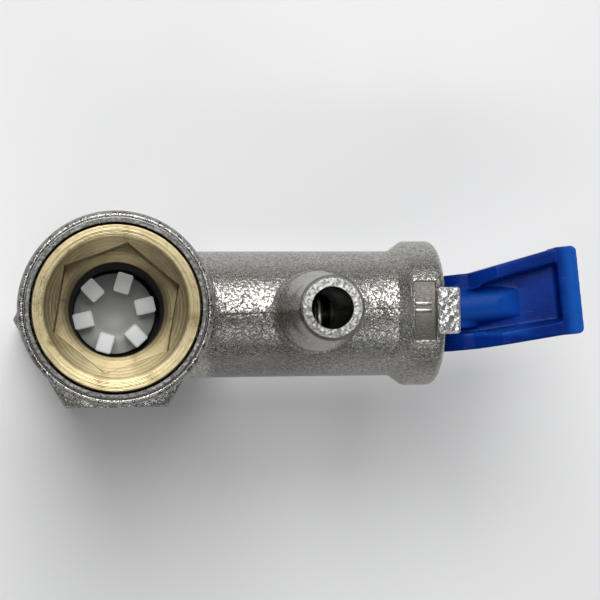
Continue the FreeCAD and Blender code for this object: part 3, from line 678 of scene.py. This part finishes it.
# %% [markdown]
# In the dropped flat beside the lug the casting has two short ribs, left by the mould's vents.
# Each is a bevelled bar that stands in the flat's floor. They could be part of the casting's
# relief, but a bar catches the light on its edges and also shows from the side.

# %% Two cast ribs
RIB_SIZE, RIB_ROUNDING = (2.1, 0.44, 0.6), 0.2
RIB_X, RIB_YS = 36.85, (0.93, 0.08)
FLAT_FLOOR = AXIS_Z + 9.1 - 0.55


def bevelled_bar(mesh, size, place, rounding):
    """A block with all but its lowest edges rounded; the mesh may hold others already."""
    bar = bmesh.ops.create_cube(mesh, size=1)["verts"]
    bmesh.ops.scale(mesh, vec=size, verts=bar)
    bmesh.ops.translate(mesh, vec=place, verts=bar)
    top = max(vert.co.z for vert in bar)
    edges = {link for vert in bar for link in vert.link_edges}
    upper = [link for link in edges if max(vert.co.z for vert in link.verts) > top - 0.001]
    made = bmesh.ops.bevel(mesh, geom=upper, offset=rounding, segments=4, profile=0.5,
                           affect="EDGES", offset_type="OFFSET", material=-1)
    rounded = {vert for face in made["faces"] for vert in face.verts}
    return list(rounded | {vert for vert in bar if vert.is_valid})


def cast_ribs():
    mesh = bmesh.new()
    for y in RIB_YS:
        bevelled_bar(mesh, RIB_SIZE, (RIB_X, y, FLAT_FLOOR), RIB_ROUNDING)
    dress(as_object("cast_ribs", mesh), "valve", RUBBED, sharp=60)


cast_ribs()

# %% [markdown]
# The insert is the brightest thing in the photograph: a flange that closes the inlet, a turned
# dish and a hexagonal socket for the key that screws it in, and a bore that guides the poppet's
# legs. It is one spun section with small turned edges, and the socket is cut from it.

# %% The brass insert
INSERT_LOW, INSERT_TOP = (corner.z for corner in box_mm("inlet_seat_insert"))
DISH_DEPTH, SOCKET_DEPTH = 0.6, 4.2
SOCKET_FLATS, SOCKET_TURN = 12.4, math.radians(-70)
KEY_LENGTH = 6
INSERT_STEPS = 144


def insert_section(low, top, floor):
    """From the nose up the outside, over the flange, down the dish and socket to the bore."""
    return [
        (5.2, low), (6.1, low), (6.3, low + 0.12), (8.0, low + 1.4), (8.0, top - 1.2),
        (8.98, top - 1.2), (9.0, top - 1.15), (9.0, top - 0.16), (8.97, top - 0.06), (8.9, top),
        (7.8, top), (7.72, top - 0.02), (7.6, top - 0.09), (7.0, top - 0.36),
        (6.4, top - DISH_DEPTH), (6.2, top - DISH_DEPTH - 0.1),
        (6.2, floor), (5.4, floor - 0.32), (5.26, floor - 0.42), (5.2, floor - 0.6),
    ]


def socket_key(floor):
    """A hexagonal prism that stands on the socket's floor."""
    mesh = bmesh.new()
    radius = SOCKET_FLATS / math.sqrt(3)
    bmesh.ops.create_cone(mesh, cap_ends=True, segments=6, radius1=radius, radius2=radius,
                          depth=KEY_LENGTH)
    turn(mesh, mesh.verts, SOCKET_TURN)
    bmesh.ops.translate(mesh, verts=mesh.verts, vec=(0, 0, floor + KEY_LENGTH / 2))
    return as_object("socket_key", mesh)


def brass_insert():
    floor = INSERT_TOP - DISH_DEPTH - SOCKET_DEPTH
    section = insert_section(INSERT_LOW, INSERT_TOP, floor)
    piece = as_object("brass_insert", lathe(section, INSERT_STEPS))
    combine(piece, socket_key(floor), "DIFFERENCE")
    dress(piece, "valve", INSERT_BRASS, stands_for=("inlet_seat_insert",))


brass_insert()

# %% [markdown]
# The check poppet is one moulding: a disc with six legs that slide in the insert's bore, and a
# tail for the keeper. It leans a little against one side of the bore, as it does in the
# photograph. Each leg is a bevelled block, turned to its place round the disc.

# %% The milky poppet
POPPET_LOW, POPPET_HIGH = box_mm("check_poppet")
POPPET_X = (POPPET_LOW.x + POPPET_HIGH.x) / 2
LEG_LENGTH, BOSS_HEIGHT = 3.4, 1.3
LEG_DEPTH, LEG_WIDTH, LEG_RADIUS, LEG_ROUNDING = 2.3, 1.86, 3.7, 0.26
LEG_FOOT = 0.2
LEGS, LEG_PHASE = 6, math.radians(13)
POPPET_STEPS = 96


def poppet_section(low, boss_low, boss_top):
    """From the tail's foot up its side, out along the disc, over it and back to the axis."""
    return [
        (0, low), (2.05, low), (2.2, low + 0.15), (2.2, boss_low), (4.7, boss_low),
        (4.85, boss_low + 0.15), (4.85, boss_top - 0.25), (4.78, boss_top - 0.07),
        (4.6, boss_top), (2.3, boss_top), (2.1, boss_top - 0.12), (0, boss_top - 0.12),
    ]


def poppet_leg(mesh, angle, bottom, top):
    leg = bevelled_bar(mesh, (LEG_DEPTH, LEG_WIDTH, top - bottom),
                       (LEG_RADIUS, 0, (top + bottom) / 2), LEG_ROUNDING)
    turn(mesh, leg, angle)


def milky_poppet():
    boss_top = POPPET_HIGH.z - LEG_LENGTH
    mesh = lathe(poppet_section(POPPET_LOW.z, boss_top - BOSS_HEIGHT, boss_top), POPPET_STEPS)
    bmesh.ops.remove_doubles(mesh, verts=mesh.verts, dist=SPUN_JOIN)
    for number in range(LEGS):
        angle = LEG_PHASE + 2 * math.pi * number / LEGS
        poppet_leg(mesh, angle, boss_top - LEG_FOOT, POPPET_HIGH.z)
    bmesh.ops.translate(mesh, vec=(POPPET_X, 0, 0), verts=mesh.verts)
    piece = as_object("milky_poppet", mesh)
    dress(piece, "check", MILKY, stands_for=("check_poppet",))


milky_poppet()

# %% [markdown]
# The lever is a moulding with thin walls and a rounded feel: nothing on it is quite sharp. A
# fine voxel skin over the CAD shape followed by a little smoothing rounds every edge by the
# same small amount, which bevels on so many crossing edges wouldn't do cleanly. One spot would
# tear in that skin: where the slot comes nearest to the ridge's round side, the wall is thinner
# than a voxel, so a bead thickens it first.

# %% The blue lever
LEVER_YAW = math.radians(5)
BEAD_SIZE, BEAD_FROM_PIN = (3.9, 0.19, 0.14), (0.45, -1.455, 2.13)
SKIN_VOXEL = 0.14
SOFTENING, SOFT_PASSES = 0.5, 4


def slot_bead(mesh):
    """A bead in the corner of the slot, placed from the pin and turned with the lever."""
    pin_low, pin_high = box_mm("lever_pin")
    bead = bmesh.ops.create_cube(mesh, size=1)["verts"]
    bmesh.ops.scale(mesh, vec=BEAD_SIZE, verts=bead)
    bmesh.ops.translate(mesh, vec=BEAD_FROM_PIN, verts=bead)
    turn(mesh, bead, LEVER_YAW)
    bmesh.ops.translate(mesh, vec=(pin_low + pin_high) / 2, verts=bead)


def soft_skin(piece):
    skin = piece.modifiers.new("skin", "REMESH")
    skin.mode = "VOXEL"
    skin.voxel_size = SKIN_VOXEL
    settle(piece)
    soft = piece.modifiers.new("soft", "SMOOTH")
    soft.factor = SOFTENING
    soft.iterations = SOFT_PASSES
    settle(piece)


def blue_lever():
    mesh = cad_copy("drain_lever")
    slot_bead(mesh)
    piece = as_object("blue_lever", mesh)
    soft_skin(piece)
    dress(piece, "lever", BLUE, sharp=180, stands_for=("drain_lever",))


blue_lever()

# %% [markdown]
# A coil spring is a circle spun along a helix. The real springs shorten when the valve opens,
# but these coils are built at their CAD length and ride on the valve's body, so they keep it.

# %% The two springs
CHECK_WIRE, CHECK_TURNS, CHECK_TRAVEL = 0.6, 5, 2.6
RELIEF_WIRE, RELIEF_TURNS, RELIEF_TRAVEL = 1.3, 6, 2.0
WIRE_SIDES, COIL_STEPS_PER_TURN = 12, 48


def coil(name, wire, width, low, high, turns):
    """A coil of the outside width given, between two heights on the tube's axis."""
    mesh = bmesh.new()
    ring = bmesh.ops.create_circle(mesh, segments=WIRE_SIDES, radius=wire / 2)["verts"]
    turn(mesh, ring, math.pi / 2, "X")
    bmesh.ops.translate(mesh, verts=ring, vec=(width / 2 - wire / 2, 0, low + wire / 2))
    steps = COIL_STEPS_PER_TURN * turns
    helix(mesh, list(mesh.verts) + list(mesh.edges), (high - low - wire) / steps, turns, steps)
    return as_object(name, mesh)


def check_coil():
    low, high = box_mm("check_spring")
    piece = coil("check_coil", CHECK_WIRE, high.y - low.y, low.z, high.z, CHECK_TURNS)
    piece.data.transform(Matrix.Translation((POPPET_X, 0, 0)))
    dress(piece, "valve", STEEL, stands_for=("check_spring",))
    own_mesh(piece)


def relief_coil():
    low, high = box_mm("relief_spring")
    piece = coil("relief_coil", RELIEF_WIRE, high.y - low.y, low.x, high.x, RELIEF_TURNS)
    lay_down = Matrix.Rotation(math.pi / 2, 4, "Y")
    piece.data.transform(Matrix.Translation((0, 0, AXIS_Z)) @ lay_down)
    dress(piece, "valve", STEEL, stands_for=("relief_spring",))
    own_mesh(piece)


check_coil()
relief_coil()

# %% [markdown]
# The pieces inside are turned or moulded parts whose CAD shape is already right, so they stay
# and only get their material.

# %% Finishes for the inner pieces
FINISH_OF = {
    "insert_gasket": RUBBER, "check_seal_ring": RUBBER, "check_seal_keeper": MILKY,
    "relief_disc": RUBBER, "disc_holder": BARREL_BRASS, "disc_screw": BARREL_BRASS,
    "relief_stem": BARREL_BRASS, "spring_washer": STEEL, "adjusting_nut": BARREL_BRASS,
    "end_bush": BARREL_BRASS, "stem_o_ring": RUBBER, "lever_pin": STEEL,
}
for node, finish in FINISH_OF.items():
    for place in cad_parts[node].material_slots:
        place.material = finish
print("inner pieces with a finish:", len(FINISH_OF))

# %% [markdown]
# The photograph was taken on a pale table with the light on the far side, so the shadow falls
# towards the viewer's side of the barrel. A large lamp there gives the bright bands on the
# nickel and the shadow, a small weak one on the near side lifts the faces turned away from it,
# and a dim world fills the rest. A brighter world would fill more evenly, but it would also
# wash out the nickel's dark bands.

# %% Table and light
TABLE_TINTS = ((0.86, 0.862, 0.868), (0.90, 0.90, 0.90))
TABLE_HALF, TABLE_CLOUDS = 1500, 60.0
LAMP_AIM = Vector((0.02, 0, 0.02))
WORLD_COLOUR, WORLD_STRENGTH = (0.95, 0.97, 1.0, 1), 0.12


def pale_table():
    made = Finish("pale_table", Roughness=0.6)
    made.give(Base_Color=made.blend(made.noise(TABLE_CLOUDS, detail=1.0), *TABLE_TINTS))
    mesh = bmesh.new()
    bmesh.ops.create_grid(mesh, x_segments=1, y_segments=1, size=TABLE_HALF)
    table = as_object("table", mesh)
    table.data.transform(Matrix.Scale(MM, 4))
    table.data.materials.append(made.material)


def lamp(name, place, power, width, height):
    """A rectangular lamp that faces the valve; its place and size are in metres."""
    data = bpy.data.lights.new(name, "AREA")
    data.energy = power
    data.shape = "RECTANGLE"
    data.size, data.size_y = width, height
    made = bpy.data.objects.new(name, data)
    bpy.context.scene.collection.objects.link(made)
    made.location = place
    made.rotation_euler = (LAMP_AIM - Vector(place)).to_track_quat("-Z", "Y").to_euler()


pale_table()
lamp("far_window", (0.0, 0.28, 0.53), power=3.2, width=0.32, height=0.46)
lamp("near_wall", (0.0, -0.36, 0.48), power=0.55, width=0.4, height=0.08)
world = bpy.data.worlds.new("room")
bpy.context.scene.world = world
world.use_nodes = True
background = world.node_tree.nodes["Background"]
background.inputs["Color"].default_value = WORLD_COLOUR
background.inputs["Strength"].default_value = WORLD_STRENGTH
